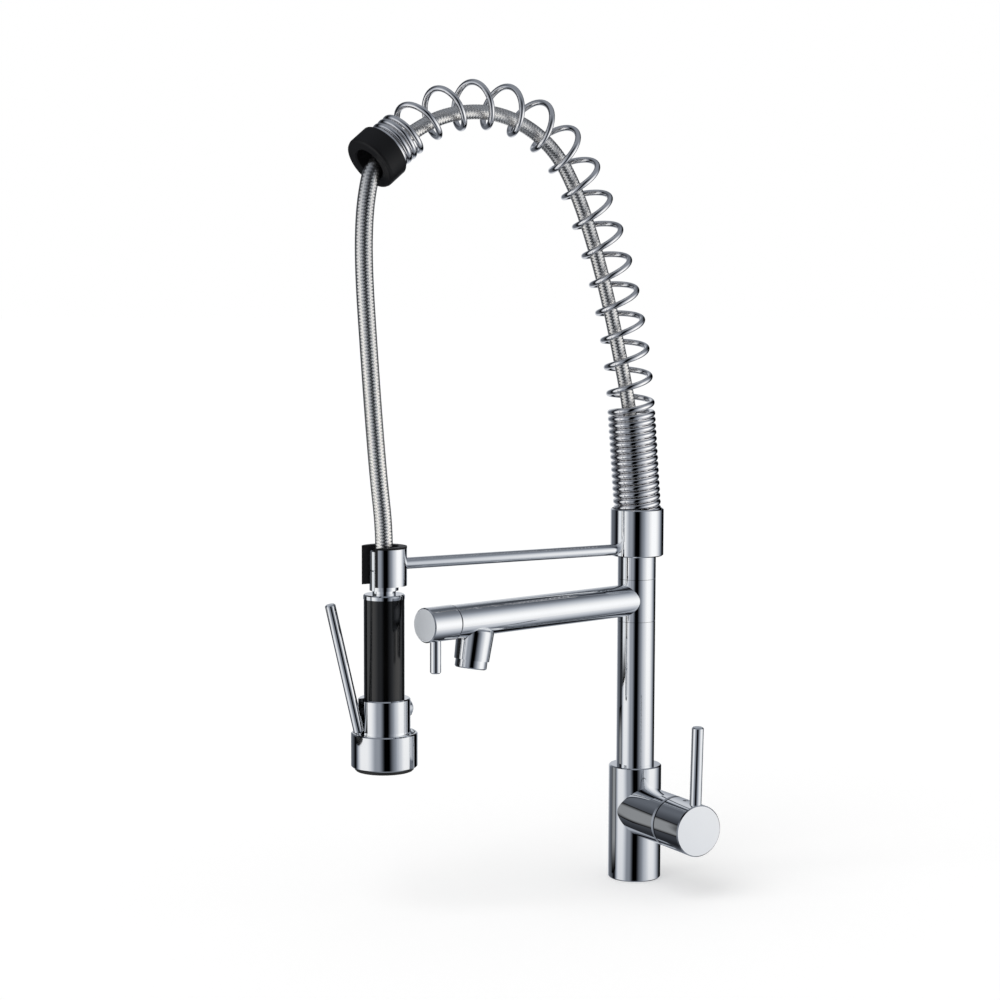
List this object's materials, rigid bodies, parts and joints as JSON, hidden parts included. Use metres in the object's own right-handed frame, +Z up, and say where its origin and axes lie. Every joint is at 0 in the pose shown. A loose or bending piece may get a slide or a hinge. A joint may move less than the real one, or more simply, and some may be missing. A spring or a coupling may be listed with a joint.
{
  "type": "pull-out kitchen faucet",
  "caption": "Spring-arch kitchen mixer faucet with a side lever, a swivel spout with its own end valve, and a trigger hand spray on a hose, docked in a clip on a swinging arm.",
  "frame": {"origin": "centre of the base's underside, on the deck", "axes": "+Z up the column, -Y along the arm towards the docked spray, +X along the mixer handle"},
  "size_m": [0.1406, 0.3489, 0.7458],
  "materials": {
    "chrome": "polished chrome plate",
    "black_rubber": "matte black rubber",
    "black_plastic": "satin black plastic",
    "white_plastic": "moulded plastic",
    "brass": "machined brass",
    "steel": "bright steel",
    "braided_hose": "hose under a fine metal braid"
  },
  "bodies": {
    "base": {"base_body": "chrome", "deck_gasket": "black_rubber", "cartridge_shell": "white_plastic", "cartridge_seals": "black_rubber", "cartridge_nut": "brass", "column_tube": "chrome", "riser_tube": "brass", "upper_sleeve": "chrome", "spout_seals": "black_rubber", "holder_seal": "black_rubber"},
    "mixer_turn": {"cartridge_rotor": "white_plastic", "stem_pin": "steel"},
    "handle": {"cartridge_stem": "steel", "handle_cap": "chrome", "handle_lever": "chrome", "handle_set_screw": "steel"},
    "spout": {"spout_ring": "chrome", "spout_tube": "chrome", "outlet_nozzle": "chrome", "aerator_housing": "chrome", "aerator_insert": "white_plastic", "valve_core": "brass"},
    "spout_valve": {"valve_cap": "chrome", "valve_spindle": "brass", "valve_lever": "chrome"},
    "arm": {"arch_holder": "chrome", "holder_grub_screw": "steel", "arm_rod": "chrome", "clip_body": "chrome", "clip_liner": "black_plastic", "arch_spring": "chrome", "spring_collar": "black_plastic", "hose_nipple": "brass", "hose_in_spring": "braided_hose", "hose_hanging": "braided_hose"},
    "spray": {"hose_nut": "chrome", "spray_neck": "chrome", "grip_collar": "chrome", "grip_sleeve": "black_plastic", "grip_pipe": "brass", "spray_body": "chrome", "valve_plug": "chrome", "head_ring": "chrome", "trigger_pin": "steel", "face_rim": "black_rubber", "nozzle_plate": "black_plastic"},
    "trigger": {"spray_trigger": "chrome"},
    "plunger": {"valve_plunger": "black_plastic"}
  },
  "joints": [
    {"name": "handle_turn", "type": "hinge", "parent": "base", "child": "mixer_turn", "pos_m": [0.049, 0, 0.0665], "axis": [1, 0, 0], "range_deg": [-45, 45]},
    {"name": "handle_tilt", "type": "hinge", "parent": "mixer_turn", "child": "handle", "pos_m": [0.049, 0, 0.0665], "axis": [0, 1, 0], "range_deg": [0, 20]},
    {"name": "spout_swivel", "type": "hinge", "parent": "base", "child": "spout", "pos_m": [0, 0, 0.26725], "axis": [0, 0, 1], "range_deg": [-2, 110]},
    {"name": "valve_turn", "type": "hinge", "parent": "spout", "child": "spout_valve", "pos_m": [0.0499, -0.23476, 0.26725], "axis": [0.2079, -0.9781, 0], "range_deg": [0, 90]},
    {"name": "arm_swivel", "type": "hinge", "parent": "base", "child": "arm", "pos_m": [0, 0, 0.3157], "axis": [0, 0, 1], "range_deg": [-110, 2]},
    {"name": "spray_pull", "type": "slide", "parent": "arm", "child": "spray", "axis": [0, -1, 0], "range_m": [0, 0.08], "deforming": ["hose_hanging"]},
    {"name": "trigger_squeeze", "type": "hinge", "parent": "spray", "child": "trigger", "pos_m": [0, -0.2889, 0.156], "axis": [-1, 0, 0], "range_deg": [0, 8], "stiffness_Nm_per_rad": 1.5},
    {"name": "plunger_slide", "type": "slide", "parent": "spray", "child": "plunger", "axis": [0, 1, 0], "range_m": [0, 0.0042]}
  ],
  "couplings": [
    {"joint": "plunger_slide", "follows": "trigger_squeeze", "m_per_rad": 0.0291}
  ]
}
